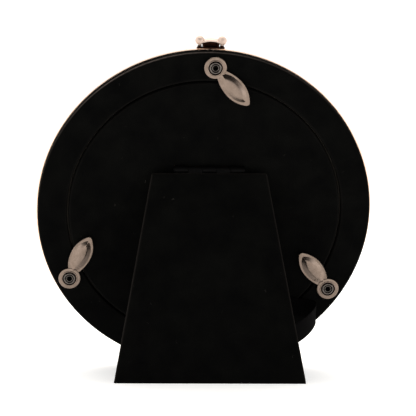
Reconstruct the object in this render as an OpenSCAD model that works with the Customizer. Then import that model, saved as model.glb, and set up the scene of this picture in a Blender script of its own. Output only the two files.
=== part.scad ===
// Round photo frame on a strut leg, seen mostly from behind: cast rim, velvet-covered
// back with a lift-out panel, three turn clips, hinged leg and a slack ribbon stay.
// Every piece is drawn in the plan of the back: X to the right as seen from behind,
// Y up the frame, Z out of the back, with Z = 0 on the velvet.

/* [Stance] */
// Angle that the frame leans back from upright
lean = 13.3; // [8:0.1:20]
// Angle between the leg and the back when the leg is open
leg_open = 23.8; // [21:0.1:32]

/* [Back] */
// Radius of the velvet-covered back
back_r = 65; // [60:0.5:90]
// Width of the fixed ring round the lift-out panel
ring_w = 11.5; // [11:0.25:14]
// Gap round the lift-out panel
panel_gap = 0.5; // [0.3:0.05:0.8]
// Thickness of the boards under the velvet
board_t = 2.2; // [1.8:0.1:3.5]
// Thickness of the velvet covering
velvet_t = 0.4; // [0.3:0.05:0.6]
// Rounding of the covered edges
edge_r = 1; // [0.7:0.05:1.4]

/* [Glazing] */
// Thickness of the glass
glass_t = 2; // [1.5:0.1:3]
// Thickness of the photo
photo_t = 0.3; // [0.2:0.05:0.5]
// Thickness of the card behind the photo
card_t = 0.6; // [0.3:0.1:1.5]
// Step from the ring's opening in to the edge of the glass
glass_inset = 1.9; // [1.6:0.1:3]
// Free space round the glass and in front of it
glass_play = 0.3; // [0.1:0.05:0.5]
// How much smaller the photo's radius is than the glass's
photo_trim = 0.8; // [0.2:0.1:2]

/* [Rim] */
// How far the rim stands out past the velvet
rim_stand = 0.5; // [0.4:0.05:1]
// Half the width of the half-round moulding
band_r = 6; // [5.5:0.1:7]
// Thickness of the casting
rim_wall = 1.2; // [1:0.1:1.6]
// Overlap of the sight edge over the glass
lip_w = 3; // [2:0.1:5]
// Radius of the bead along the sight edge
bead_r = 0.9; // [0.7:0.05:1.2]

/* [Crest] */
// Clockwise place of the crest as seen from behind, in degrees
crest_clock = 0.4; // [-3:0.1:3]
// Distance between the two ball finials
finial_gap = 8.5; // [8:0.1:12]
// Radius of each ball
ball_r = 1.75; // [1.4:0.05:1.9]
// Height of the ball centres over the rim
ball_h = 2.9; // [2.5:0.1:4]
// Height of the shell over the rim
shell_h = 3.4; // [2.8:0.1:4]
// Depth of the crest from back to front
crest_l = 2.8; // [2.4:0.1:3.4]
// Number of flutes in the shell
flutes = 7; // [5:2:9]

/* [Turn clips] */
// Distance of each eyelet from the edge of the back
clip_inset = 5.9; // [5.4:0.1:6.2]
// Turn of the three clips round the back, clockwise from the top
clip_clock = 2.1; // [-10:0.1:10]
// Directions of the three tails, clockwise from up
tail_dirs = [135.5, 22.2, -36.7];
// Radius of the clip's ring
clip_r = 4.3; // [4:0.1:5]
// Length from the eyelet to the tip
tail_l = 19.5; // [17:0.5:22]
// Widest part of the leaf-shaped tail
leaf_w = 8; // [7:0.1:9]
// Distance from the eyelet to the widest part
leaf_mid = 11; // [10:0.1:12]
// Width of the tail where it leaves the ring
neck_w = 4.4; // [3.6:0.1:6]
// Width of the flat border round the pillow
border_w = 0.8; // [0.6:0.05:1.2]
// Height of the pillow over the border
pillow_h = 1; // [0.6:0.05:1.2]
// Upward slope of the tail
tail_lift = 5; // [3:0.5:8]
// Thickness of the clip's sheet metal
clip_t = 0.45; // [0.35:0.05:0.5]
// Outer radius of the eyelet's barrel
eyelet_r = 1.6; // [1.4:0.05:1.8]
// Radius of the hole through the eyelet
eyelet_bore = 1; // [0.7:0.05:1.1]

/* [Leg] */
// Width of the leg at the hinge
leg_top_w = 44; // [36:0.5:50]
// Width of the leg at the foot
leg_foot_w = 74; // [60:0.5:90]
// Thickness of the leg's board
leg_t = 1.8; // [1.6:0.1:3]
// Height of the hinge over the middle of the back
hinge_y = 18.4; // [12:0.1:24]
// Sideways place of the hinge
hinge_x = 1.1; // [-3:0.1:3]
// Sideways skew of the leg, in degrees
leg_skew = 0.5; // [-2:0.1:2]
// Gap between the folded leg and the back
leg_gap = 0.6; // [0.5:0.05:1]

/* [Hinge] */
// Length of the hinge
hinge_l = 27; // [20:0.5:34]
// Radius of the hinge knuckles
knuckle_r = 1.1; // [1:0.05:1.3]
// Radius of the hinge pin
pin_r = 0.55; // [0.45:0.01:0.56]
// Thickness of the hinge leaves
leaf_t = 0.4; // [0.3:0.05:0.42]
// Height of each hinge leaf
leaf_h = 9; // [7:0.5:12]
// Distance between the two rivets of a leaf
rivet_gap = 16; // [10:0.5:18]

/* [Ribbon stay] */
// Width of the ribbon
ribbon_w = 8; // [6:0.5:9]
// Thickness of the ribbon
ribbon_t = 0.2; // [0.1:0.05:0.25]
// Distance of the ribbon from the hinge, along the leg
ribbon_s = 65; // [55:0.5:66]
// Length of the ribbon's glued end on the panel
ribbon_tab = 10; // [6:0.5:14]
// How far inside the leg's edge that glued end stops
tab_inset = 11; // [8:0.5:14]
// How far the bow stands out past the leg's edge
bow_out = 10.2; // [6:0.1:12]

/* [Hidden] */
$fn = 96;

// fits and small allowances
pin_play = 0.06;       // round the hinge pin, and round an eyelet's barrel
knuckle_gap = 0.15;    // between neighbouring knuckles
fit = 0.05;            // round a piece that is glued or riveted in
seat_gap = 0.08;       // under a turning clip
over = 1;              // how far a cutter runs past what it cuts
spacer_play = 0.4;     // between the spacer and the rim's wall

// stack from the velvet to the front, counted as depths
back_t = velvet_t + board_t;
glass_z = back_t + card_t + photo_t;
lip_z = glass_z + glass_t + glass_play;
ring_in = back_r - ring_w;
panel_r = ring_in - panel_gap;
glass_r = ring_in - glass_inset;
photo_r = glass_r - photo_trim;
sight_r = glass_r - lip_w;

// half-round moulding of the rim
rim_r = back_r + rim_stand;
band_c = rim_r - band_r;
band_z = back_t + band_r / 10;
spacer_out = rim_r - rim_wall - spacer_play;
spacer_in = glass_r + glass_play;
lip_t = rim_wall;

// height of the disc's middle: the rim or the velvet touches the table in front
rim_low = (band_c + sqrt(band_r * band_r - pow(band_z - back_t, 2))) * cos(lean) - back_t * sin(lean);
velvet_low = (back_r - edge_r) * cos(lean) - edge_r * sin(lean) + edge_r;
disc_z = max(rim_low, velvet_low);

// crest, standing on a flat pad by two spigots
crest_set = 0.4;
crest_z = back_t + crest_set + crest_l / 2;
spigot_r = 0.55;
spigot_l = 0.8;
pad_side = 1.2;
arch_r = 9.6;
shell_gap = 0.55;
shell_w = finial_gap - 2 * (spigot_r + shell_gap);
shell_wall = 0.6;
shell_sill = 0.5;
flute_r = 0.32;
flute_fan = 74.4;
foot_r = spigot_r + shell_gap - fit;
foot_t = 0.35;
collar_y = 0.7;
collar_w = 0.25;
collar_t = 0.2;

// clips and eyelets
clip_ring_r = back_r - clip_inset;
flange_w = 0.75;
flange_r = eyelet_r + flange_w;
roll_r = flange_w / 2;
cup_gap = 0.15;
cup_flare = 0.25;
cup_r = flange_r + cup_gap;
cup_depth = 0.45;
ring_z = seat_gap + clip_t + cup_depth;
flange_z = seat_gap + clip_t + fit;
ring_soft = 0.15;
lip_bead_r = 0.28;
lip_bead_sink = 0.1;
clasp_t = 0.4;

// hinge and leg
hinge_z = leg_gap + leg_t + velvet_t - knuckle_r;
leg_front = knuckle_r - leg_t;
leg_clear = 0.2;
leg_start = knuckle_r + leg_clear;
leg_drop = hinge_y * cos(lean) + disc_z - hinge_z * sin(lean);
leg_slope = leg_open - lean;
leg_l = leg_drop / cos(leg_slope);
leg_spread = atan((leg_foot_w - leg_top_w) / 2 / leg_l);
rivet_r = 0.8;
rivet_head_r = 1.4;
rivet_head_t = 0.4;
rivet_down = leaf_h * 0.6;
flange_hole_gap = 0.25;

// depth of the whole, from the rim's front to the foot, centred on the origin
front_y = -band_c * sin(lean) - band_z * cos(lean) - band_r;
foot_y = hinge_y * sin(lean) + hinge_z * cos(lean) + leg_drop * tan(leg_slope)
    + (knuckle_r + velvet_t) / cos(leg_slope);
disc_y = -(front_y + foot_y) / 2;

// places the plan of the back at its lean, with the foot and the rim on the table
module on_back() {
    translate([0, disc_y, disc_z]) rotate([-lean, 0, 0]) rotate([90, 0, 180]) children();
}

// the leg's own plan: its hinge axis along X at the origin, the leg running down -Y
module on_leg() {
    on_back() translate([hinge_x, hinge_y, hinge_z]) rotate([-leg_open, 0, 0]) children();
}

// everything above the table, less an allowance
module above_table(lift = 0) {
    difference() {
        children();
        translate([-back_r * 2, -back_r * 2, lift - back_r]) cube([back_r * 4, back_r * 4, back_r]);
    }
}

module disc(r, z_front, z_back) {
    translate([0, 0, -z_front]) cylinder(r = r, h = z_front - z_back);
}

// ring section whose corners towards the back are rounded
module soft_section(r_in, r_out, depth) {
    translate([r_in, -depth]) square([r_out - r_in, depth - edge_r]);
    translate([r_in + (r_in > 0 ? edge_r : 0), -depth])
        square([r_out - r_in - edge_r * (r_in > 0 ? 2 : 1), depth]);
    translate([r_out - edge_r, -edge_r]) circle(r = edge_r, $fn = 48);
    if (r_in > 0) translate([r_in + edge_r, -edge_r]) circle(r = edge_r, $fn = 48);
}

// front: cast rim, crest and glazing

module rim_section() {
    difference() {
        union() {
            intersection() {
                translate([band_c, -band_z]) circle(r = band_r);
                translate([band_c - band_r, -back_t - band_r * 2]) square([band_r * 2, band_r * 2]);
            }
            translate([sight_r, -lip_z - lip_t]) square([band_c - sight_r, lip_t]);
            translate([sight_r + bead_r, -lip_z - lip_t]) circle(r = bead_r, $fn = 48);
        }
        intersection() {
            translate([band_c, -band_z]) circle(r = band_r - rim_wall);
            translate([band_c - band_r, -lip_z - band_r]) square([band_r * 2, band_r + over]);
        }
        translate([0, -lip_z]) square([spacer_out + fit, lip_z]);
    }
}

module at_crest() {
    rotate([0, 0, -crest_clock]) translate([0, rim_r, -crest_z]) children();
}

module front_rim() {
    color("#e8b79c") on_back() difference() {
        union() {
            rotate_extrude() rim_section();
            at_crest() translate([-finial_gap / 2 - pad_side, -rim_wall, -crest_l / 2])
                cube([finial_gap + 2 * pad_side, rim_wall, crest_l]);
        }
        at_crest() for (side = [-1, 1])
            translate([side * finial_gap / 2, over, 0]) rotate([90, 0, 0])
                cylinder(r = spigot_r + fit, h = spigot_l + over + fit, $fn = 32);
    }
}

// flat-footed shell with an arched top, hollow behind, with flutes fanned inside
module shell_outline(inset) {
    intersection() {
        translate([0, shell_h - arch_r]) circle(r = arch_r - inset);
        translate([inset - shell_w / 2, inset > 0 ? shell_sill : 0])
            square([shell_w - 2 * inset, shell_h]);
    }
}

module crest_shell() {
    color("#d9a287") on_back() at_crest() difference() {
        union() {
            translate([0, 0, -crest_l / 2]) linear_extrude(crest_l) shell_outline(0);
            for (i = [0 : flutes - 1]) intersection() {
                translate([0, -arch_r / 4, -crest_l / 2])
                    rotate([-90, 0, ((flutes - 1) / 2 - i) * flute_fan / (flutes - 1)])
                        cylinder(r = flute_r, h = arch_r, $fn = 24);
                translate([0, 0, -crest_l]) linear_extrude(crest_l) shell_outline(0);
            }
        }
        translate([0, 0, shell_wall - crest_l / 2]) linear_extrude(crest_l) shell_outline(shell_wall);
        for (side = [-1, 1])
            translate([side * finial_gap / 2, ball_h, 0]) sphere(r = ball_r + fit, $fn = 48);
    }
}

module finial(side) {
    color("#f0c4ab") on_back() at_crest()
        translate([side * finial_gap / 2, 0, 0]) rotate([-90, 0, 0]) rotate_extrude() {
            translate([0, -spigot_l]) square([spigot_r, spigot_l + ball_h]);
            square([foot_r, foot_t]);
            translate([0, collar_y]) square([spigot_r + collar_w, collar_t]);
            intersection() {
                translate([0, ball_h]) circle(r = ball_r, $fn = 64);
                translate([0, ball_h - ball_r]) square(ball_r * 2);
            }
        }
}

module glass_pane() { color("#bfd8d8", 0.5) on_back() disc(glass_r, glass_z + glass_t, glass_z); }
module photo_insert() { color("#f4f1ea") on_back() disc(photo_r, glass_z, glass_z - photo_t); }
module backing_card() { color("#b79f7c") on_back() disc(glass_r, glass_z - photo_t, back_t); }

// back: fixed ring, lift-out panel and their covering

module at_clips(which = [0, 1, 2]) {
    for (i = which) rotate([0, 0, -clip_clock - [0, -120, 120][i]])
        translate([0, clip_ring_r, 0]) children();
}

module spacer_ring() {
    color("#8d8378") on_back() difference() {
        disc(spacer_out, lip_z, back_t);
        disc(spacer_in, lip_z + over, back_t - over);
        at_clips()
            disc(flange_r + flange_hole_gap, back_t + clasp_t + flange_hole_gap, back_t - over);
    }
}

module ring_board() {
    color("#6d5a45") on_back() difference() {
        disc(back_r - velvet_t, back_t, velvet_t);
        disc(ring_in + velvet_t, back_t + over, -over);
        at_clips() disc(eyelet_r + fit, back_t + over, -over);
    }
}

module ring_velvet() {
    color("#141414") on_back() difference() {
        rotate_extrude() difference() {
            soft_section(ring_in, back_r, back_t);
            translate([ring_in + velvet_t, -back_t - over])
                square([ring_w - 2 * velvet_t, board_t + over]);
        }
        at_clips() disc(eyelet_r + fit, back_t + over, -over);
    }
}

// pocket under the velvet for the hinge leaf, with the cut through which its webs pass
module leaf_pocket(whole_leaf) {
    tall = whole_leaf ? leaf_h : leaf_t;
    up = whole_leaf ? 0 : velvet_t;
    translate([hinge_x - hinge_l / 2 - fit, hinge_y + knuckle_r - leaf_t - fit, -velvet_t - leaf_t - fit])
        cube([hinge_l + 2 * fit, tall + 2 * fit, leaf_t + fit + up + over]);
}

module at_panel_rivets() {
    for (side = [-1, 1])
        translate([hinge_x + side * rivet_gap / 2, hinge_y + knuckle_r + rivet_down, 0]) children();
}

module panel_board() {
    color("#6d5a45") on_back() difference() {
        disc(panel_r - velvet_t, back_t, velvet_t);
        leaf_pocket(true);
        at_panel_rivets() disc(rivet_r + fit, back_t + over, 0);
        at_panel_rivets() disc(rivet_head_r + fit, back_t + over, back_t - rivet_head_t);
    }
}

module panel_velvet() {
    color("#141414") on_back() difference() {
        rotate_extrude() difference() {
            soft_section(0, panel_r, back_t);
            translate([0, -back_t - over]) square([panel_r - velvet_t, board_t + over]);
        }
        leaf_pocket(false);
    }
}

module panel_rivets() {
    color("#3a3a3a") on_back() at_panel_rivets() {
        disc(rivet_r, back_t, velvet_t);
        disc(rivet_head_r, back_t, back_t - rivet_head_t);
    }
}

// turn clips: a stamped leaf on a cupped ring, held by a rolled eyelet

module eyelet(i) {
    color("#4a4744") on_back() at_clips([i]) rotate_extrude() {
        translate([eyelet_bore, -back_t - clasp_t])
            square([eyelet_r - eyelet_bore, back_t + clasp_t + flange_z + roll_r]);
        translate([eyelet_r + roll_r, flange_z + roll_r]) circle(r = roll_r, $fn = 32);
        translate([eyelet_bore, flange_z + roll_r / 2])
            square([eyelet_r - eyelet_bore + roll_r, roll_r * 1.5]);
        translate([eyelet_bore, -back_t - clasp_t]) square([flange_r - eyelet_bore, clasp_t]);
    }
}

// half-width arcs of the leaf, one towards the tip and one towards the neck
tip_blunt = 0.9;
tip_run = tail_l - leaf_mid + tip_blunt / 3;
tip_arc = (pow(leaf_w / 2, 2) + tip_run * tip_run) / leaf_w;
neck_y = clip_r * 0.8;
neck_into_ring = 0.6;
tail_up = 0.2;
neck_drop = (leaf_w - neck_w) / 2;
neck_arc = (neck_drop * neck_drop + pow(leaf_mid - neck_y, 2)) / (2 * neck_drop);

module lens(arc) {
    intersection_for (side = [-1, 1])
        translate([side * (arc - leaf_w / 2), leaf_mid]) circle(r = arc, $fn = 180);
}

module leaf_outline() {
    intersection() {
        lens(tip_arc);
        translate([-leaf_w / 2, leaf_mid]) square([leaf_w, tail_l - leaf_mid - tip_blunt]);
    }
    intersection() {
        lens(neck_arc);
        translate([-leaf_w / 2, neck_y - neck_into_ring])
            square([leaf_w, leaf_mid - neck_y + neck_into_ring]);
    }
    translate([0, tail_l - tip_blunt]) circle(r = tip_blunt, $fn = 32);
}

// lemon-shaped solid of revolution whose crown makes the stamped pillow
pillow_w = leaf_w / 2 - border_w;
pillow_start = 0.2;
pillow_end = 2;
pillow_l = (tail_l - clip_r - pillow_start - pillow_end) / 2;
pillow_y = clip_r + pillow_start + pillow_l;
crown_r = (pillow_w * pillow_w + pillow_h * pillow_h) / (2 * pillow_h);
crown_arc = (pillow_l * pillow_l + pillow_h * pillow_h) / (2 * pillow_h);

module lemon(inset) {
    translate([0, pillow_y, pillow_h - crown_r]) rotate([-90, 0, 0]) rotate_extrude()
        intersection() {
            translate([crown_r - crown_arc, 0]) circle(r = crown_arc - inset, $fn = 180);
            translate([0, -pillow_l * 2]) square([crown_r, pillow_l * 4]);
        }
}

module on_tail() {
    translate([0, neck_y, seat_gap + clip_t + tail_up]) rotate([tail_lift, 0, 0])
        translate([0, -neck_y, 0]) children();
}

module clip_ring_section() {
    hole = eyelet_r + pin_play;
    polygon([[hole, seat_gap], [cup_r, seat_gap], [cup_r + clip_t, ring_z - clip_t],
        [clip_r - ring_soft, ring_z - clip_t], [clip_r, ring_z - clip_t + ring_soft],
        [clip_r, ring_z - ring_soft], [clip_r - ring_soft, ring_z], [cup_r + cup_flare, ring_z],
        [cup_r, seat_gap + clip_t], [hole, seat_gap + clip_t]]);
    translate([cup_r + clip_t, ring_z - lip_bead_sink]) circle(r = lip_bead_r, $fn = 32);
}

module clip(i) {
    color("#a8958a") on_back() at_clips([i])
        rotate([0, 0, clip_clock + [0, -120, 120][i] - tail_dirs[i]]) difference() {
            union() {
                rotate_extrude() clip_ring_section();
                on_tail() difference() {
                    union() {
                        translate([0, 0, -clip_t]) linear_extrude(clip_t) leaf_outline();
                        intersection() {
                            lemon(0);
                            translate([-leaf_w, 0, -clip_t / 2])
                                cube([leaf_w * 2, tail_l * 2, pillow_h * 2]);
                        }
                    }
                    lemon(clip_t);
                }
            }
            translate([0, 0, seat_gap + clip_t]) cylinder(r1 = cup_r, r2 = cup_r + cup_flare, h = cup_depth);
            translate([0, 0, -over]) cylinder(r = eyelet_r + pin_play, h = 2 * over + ring_z);
        }
}

// hinge: two leaves with interleaved knuckles on one pin

knuckle_l = hinge_l / 5;

module knuckles(which) {
    for (k = which) translate([(k - 2) * knuckle_l - knuckle_l / 2 + knuckle_gap / 2, 0, 0]) children();
}

module knuckle() {
    rotate([0, 90, 0]) cylinder(r = knuckle_r, h = knuckle_l - knuckle_gap, $fn = 48);
}

module pin_bore() {
    translate([-hinge_l, 0, 0]) rotate([0, 90, 0]) cylinder(r = pin_r + pin_play, h = hinge_l * 2, $fn = 48);
}

module hinge_leaf_panel() {
    web_l = hinge_z + velvet_t + leaf_t;
    color("#2b2b2b") on_back() difference() {
        translate([hinge_x, hinge_y, hinge_z]) difference() {
            union() {
                knuckles([0, 2, 4]) {
                    knuckle();
                    translate([0, knuckle_r - leaf_t, -web_l])
                        cube([knuckle_l - knuckle_gap, leaf_t, web_l]);
                }
                translate([-hinge_l / 2 + knuckle_gap / 2, knuckle_r - leaf_t, -web_l])
                    cube([hinge_l - knuckle_gap, leaf_h, leaf_t]);
            }
            pin_bore();
        }
        at_panel_rivets() disc(rivet_r + fit, back_t, -over);
    }
}

module hinge_leaf_leg() {
    color("#2b2b2b") on_leg() difference() {
        union() {
            knuckles([1, 3]) {
                knuckle();
                translate([0, -leg_start - over, knuckle_r - leaf_t])
                    cube([knuckle_l - knuckle_gap, leg_start + over, leaf_t]);
            }
            translate([-hinge_l / 2 + knuckle_gap / 2, -leaf_h - leg_start, knuckle_r - leaf_t])
                cube([hinge_l - knuckle_gap, leaf_h, leaf_t]);
        }
        pin_bore();
        at_leg_rivets() cylinder(r = rivet_r + fit, h = leg_t * 2, center = true, $fn = 32);
    }
}

module hinge_pin() {
    head_t = 0.3;
    color("#555555") on_back() translate([hinge_x, hinge_y, hinge_z]) rotate([0, 90, 0]) {
        cylinder(r = pin_r, h = hinge_l + head_t, center = true, $fn = 48);
        for (side = [-1, 1]) translate([0, 0, side * (hinge_l + head_t) / 2])
            cylinder(r = pin_r + 0.25, h = head_t, center = true, $fn = 48);
    }
}

module at_leg_rivets() {
    for (side = [-1, 1]) translate([side * rivet_gap / 2, -leg_start - rivet_down, 0]) children();
}

module leg_rivets() {
    color("#3a3a3a") on_leg() at_leg_rivets() {
        translate([0, 0, leg_front]) cylinder(r = rivet_r, h = leg_t, $fn = 32);
        translate([0, 0, leg_front]) cylinder(r = rivet_head_r, h = rivet_head_t, $fn = 32);
    }
}

// leg: a tapered board in velvet, cut level where it stands

// corners of the leg's outline, brought in by an inset
function leg_corner(side, foot, inset) = let (
        down = foot ? leg_l + 2 * edge_r : leg_start + inset,
        half = leg_top_w / 2 + down * tan(leg_spread) - inset / cos(leg_spread))
    [side * half, -down];

module leg_slab(inset, z_lo, z_hi) {
    rotate([0, 0, leg_skew]) translate([0, 0, z_lo]) linear_extrude(z_hi - z_lo)
        polygon([for (c = [[-1, false], [-1, true], [1, true], [1, false]]) leg_corner(c[0], c[1], inset)]);
}

module leg_board() {
    color("#6d5a45") difference() {
        above_table(velvet_t) on_leg() leg_slab(velvet_t, leg_front, knuckle_r);
        on_leg() translate([-hinge_l / 2, -leg_start - leaf_h - fit, knuckle_r - leaf_t - fit])
            cube([hinge_l, leaf_h + over, leaf_t + over]);
        on_leg() at_leg_rivets() {
            cylinder(r = rivet_r + fit, h = leg_t * 3, center = true, $fn = 32);
            translate([0, 0, leg_front - over])
                cylinder(r = rivet_head_r + fit, h = rivet_head_t + over, $fn = 32);
        }
    }
}

module leg_velvet() {
    soft = edge_r * 0.8;
    color("#141414") difference() {
        above_table() on_leg() rotate([0, 0, leg_skew]) hull()
            for (side = [-1, 1], foot = [false, true],
                z = [leg_front - velvet_t + soft, knuckle_r + velvet_t - soft])
                translate(concat(leg_corner(side, foot, soft), z)) sphere(r = soft, $fn = 24);
        above_table(velvet_t) on_leg() leg_slab(velvet_t, leg_front, knuckle_r);
        on_leg() translate([-hinge_l / 2, -leg_start - over, knuckle_r - leaf_t - fit])
            cube([hinge_l, over * 2, leaf_t + 2 * fit]);
    }
}

// ribbon stay: glued to the panel, bowed out past the leg, glued inside the leg

function bez(p, t) = pow(1 - t, 3) * p[0] + 3 * t * pow(1 - t, 2) * p[1]
    + 3 * t * t * (1 - t) * p[2] + t * t * t * p[3];

module ribbon_stay() {
    color("#0d0d0d") on_back() ribbon();
}

// run along the panel, out to the bow and back to the leg, as X and a share of the way to the leg
leg_edge_x = hinge_x + leg_top_w / 2 + ribbon_s * tan(leg_spread);
ribbon_x = leg_edge_x - tab_inset;
bow_x = leg_edge_x + bow_out;
bow_share = 0.18;
land_inset = 5;
land_x = leg_edge_x - land_inset;
lead_out = 0.3;
lead_in = 0.8;
land_lead = 8;
ribbon_in = ribbon_t + seat_gap + velvet_t - leg_front;
steps = 10;
run_out = [[ribbon_x, 0], [ribbon_x + ribbon_tab, 0], [bow_x + lead_out, 0.02], [bow_x, bow_share]];
run_back = [[bow_x, bow_share], [bow_x - lead_in, 0.41], [bow_x - land_lead, 0.86], [land_x, 1]];
ribbon_run = concat([[ribbon_x - ribbon_tab, 0]], [for (i = [0 : steps]) bez(run_out, i / steps)],
    [for (i = [1 : steps]) bez(run_back, i / steps)], [[land_x - ribbon_tab / 2, 1]]);

// a ring of four corners for each point of the run, turning with the leg
function ribbon_mid(p) = let (
        foot = [hinge_y - ribbon_s * cos(leg_open) - ribbon_in * sin(leg_open),
            hinge_z + ribbon_s * sin(leg_open) - ribbon_in * cos(leg_open)],
        root = [foot[0], ribbon_t / 2])
    [p[0], root[0] + (foot[0] - root[0]) * p[1], root[1] + (foot[1] - root[1]) * p[1]];
function ribbon_turn(p) = [0, cos(leg_open * p[1]), -sin(leg_open * p[1])];
function unit(v) = v / norm(v);
function ribbon_ring(i) = let (
        n = len(ribbon_run) - 1,
        mid = ribbon_mid(ribbon_run[i]),
        along = unit(ribbon_mid(ribbon_run[min(i + 1, n)]) - ribbon_mid(ribbon_run[max(i - 1, 0)])),
        wide = ribbon_turn(ribbon_run[i]) * ribbon_w / 2,
        thick = unit(cross(along, wide)) * ribbon_t / 2)
    [mid + wide + thick, mid - wide + thick, mid - wide - thick, mid + wide - thick];

module ribbon() {
    n = len(ribbon_run);
    points = [for (i = [0 : n - 1]) each ribbon_ring(i)];
    sides = [for (i = [0 : n - 2], k = [0 : 3]) let (a = i * 4 + k, b = i * 4 + (k + 1) % 4)
        each [[a, a + 4, b], [b, a + 4, b + 4]]];
    ends = [[0, 1, 2], [0, 2, 3], [n * 4 - 4, n * 4 - 2, n * 4 - 3], [n * 4 - 4, n * 4 - 1, n * 4 - 2]];
    polyhedron(points = points, faces = concat(sides, ends));
}

front_rim();
crest_shell();
finial(-1);  // finial_left
finial(1);  // finial_right
glass_pane();
photo_insert();
backing_card();
spacer_ring();
ring_board();
ring_velvet();
panel_board();
panel_velvet();
eyelet(0);  // eyelet_top
eyelet(1);  // eyelet_left
eyelet(2);  // eyelet_right
clip(0);  // clip_top
clip(1);  // clip_left
clip(2);  // clip_right
hinge_leaf_panel();
panel_rivets();
hinge_pin();
hinge_leaf_leg();
leg_rivets();
leg_board();
leg_velvet();
ribbon_stay();
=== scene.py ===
import math

import bmesh
import bpy
from mathutils import Matrix, Vector


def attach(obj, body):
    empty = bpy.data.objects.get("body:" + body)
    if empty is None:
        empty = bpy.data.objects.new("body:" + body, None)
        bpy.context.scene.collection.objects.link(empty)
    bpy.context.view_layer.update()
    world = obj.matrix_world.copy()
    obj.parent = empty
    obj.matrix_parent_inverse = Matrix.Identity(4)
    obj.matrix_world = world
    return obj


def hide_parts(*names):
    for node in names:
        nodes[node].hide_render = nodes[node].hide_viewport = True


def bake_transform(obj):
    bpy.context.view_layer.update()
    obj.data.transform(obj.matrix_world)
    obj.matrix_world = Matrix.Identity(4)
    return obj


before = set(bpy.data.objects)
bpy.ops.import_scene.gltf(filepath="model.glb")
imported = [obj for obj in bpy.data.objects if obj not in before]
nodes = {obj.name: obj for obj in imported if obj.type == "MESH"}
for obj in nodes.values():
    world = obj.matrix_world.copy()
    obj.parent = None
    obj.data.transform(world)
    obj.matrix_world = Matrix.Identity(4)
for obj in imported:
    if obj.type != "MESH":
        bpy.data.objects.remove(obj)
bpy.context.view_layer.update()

mm = 0.001
print("frame loaded:", len(nodes), "nodes")


# where the covered back and the leg stand, in millimetres and degrees
stance = {
    "lean": 13.3, "discY": 0.2226, "discZ": 63.1158,
    "hingeX": 1.1, "hingeY": 18.4, "hingeZ": 1.7,
    "legOpen": 23.8, "legSkew": 0.5,
}


def onBack(x, y, z):
    # plan of the back, x right as seen from behind, y up, z out of the velvet
    lean = math.radians(stance["lean"])
    s, c = math.sin(lean), math.cos(lean)
    return Vector((-x, stance["discY"] + y * s + z * c, stance["discZ"] + y * c - z * s)) * mm


def inPlan(co):
    # a point of the row frame back in the plan of the back
    lean = math.radians(stance["lean"])
    s, c = math.sin(lean), math.cos(lean)
    y, z = co.y / mm - stance["discY"], co.z / mm - stance["discZ"]
    return -co.x / mm, y * s + z * c, y * c - z * s


def onLeg(x, y, z):
    # plan of the leg: the hinge axis along x, the leg running down -y
    t, k = math.radians(stance["legOpen"]), math.radians(stance["legSkew"])
    sx, sy = x * math.cos(k) - y * math.sin(k), x * math.sin(k) + y * math.cos(k)
    return onBack(
        stance["hingeX"] + sx,
        stance["hingeY"] + sy * math.cos(t) + z * math.sin(t),
        stance["hingeZ"] - sy * math.sin(t) + z * math.cos(t),
    )


outward = (onBack(0, 0, 1) - onBack(0, 0, 0)).normalized()

# camera, solved from the outline, the groove, the eyelets and the leg's corners
viewpoint = {
    "distance": 800.43, "azimuth": 4.255, "elevation": 7.128, "roll": 1.041,
    "pivot": (0, 0.223, 64.702), "lens": 177.64, "sensor": 36.0,
    "shiftX": 0.00839, "shiftY": 0.00197, "near": 0.05, "far": 100.0,
}


def placeCamera():
    az, el = math.radians(viewpoint["azimuth"]), math.radians(viewpoint["elevation"])
    roll = math.radians(viewpoint["roll"])
    back = Vector((math.sin(az) * math.cos(el), math.cos(az) * math.cos(el), math.sin(el)))
    side = (-back).cross(Vector((0, 0, 1))).normalized()
    up = side.cross(-back)
    right = side * math.cos(roll) + up * math.sin(roll)
    top = up * math.cos(roll) - side * math.sin(roll)
    data = bpy.data.cameras.new("camera")
    data.lens, data.sensor_width = viewpoint["lens"], viewpoint["sensor"]
    data.shift_x, data.shift_y = viewpoint["shiftX"], viewpoint["shiftY"]
    data.clip_start, data.clip_end = viewpoint["near"], viewpoint["far"]
    camera = bpy.data.objects.new("camera", data)
    bpy.context.scene.collection.objects.link(camera)
    at = (Vector(viewpoint["pivot"]) + back * viewpoint["distance"]) * mm
    turned = Matrix((right, top, back)).transposed().to_4x4()
    camera.matrix_world = Matrix.Translation(at) @ turned
    bpy.context.scene.camera = camera


placeCamera()
print("camera placed")


def hexLinear(code, alpha=1.0):
    # sRGB hex to linear light
    parts = [int(code[i:i + 2], 16) / 255 for i in (1, 3, 5)]
    light = [p / 12.92 if p <= 0.04045 else ((p + 0.055) / 1.055) ** 2.4 for p in parts]
    return tuple(light) + (alpha,)


def addNode(tree, kind, inputs=None, stops=(), **settings):
    # an input takes a value, or is linked from an output or from a node's first output;
    # stops are the (place, hex) pairs of a colour ramp
    node = tree.nodes.new(kind)
    for key, value in settings.items():
        setattr(node, key, value)
    for key, value in (inputs or {}).items():
        if isinstance(value, bpy.types.Node):
            value = value.outputs[0]
        if isinstance(value, bpy.types.NodeSocket):
            tree.links.new(value, node.inputs[key])
        else:
            node.inputs[key].default_value = value
    for i, (at, code) in enumerate(stops):
        marks = node.color_ramp.elements
        mark = marks[i] if i < 2 else marks.new(at)
        mark.position, mark.color = at, hexLinear(code)
    return node


def startMaterial(name):
    material = bpy.data.materials.new(name)
    material.use_nodes = True
    tree = material.node_tree
    tree.nodes.clear()
    return material, tree, addNode(tree, "ShaderNodeTexCoord").outputs["Object"]


def endMaterial(tree, inputs):
    shader = addNode(tree, "ShaderNodeBsdfPrincipled", inputs)
    addNode(tree, "ShaderNodeOutputMaterial", {"Surface": shader})


def lumps(size):
    # scale of a noise whose lumps are about size millimetres across
    return 1 / (size * mm)


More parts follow.
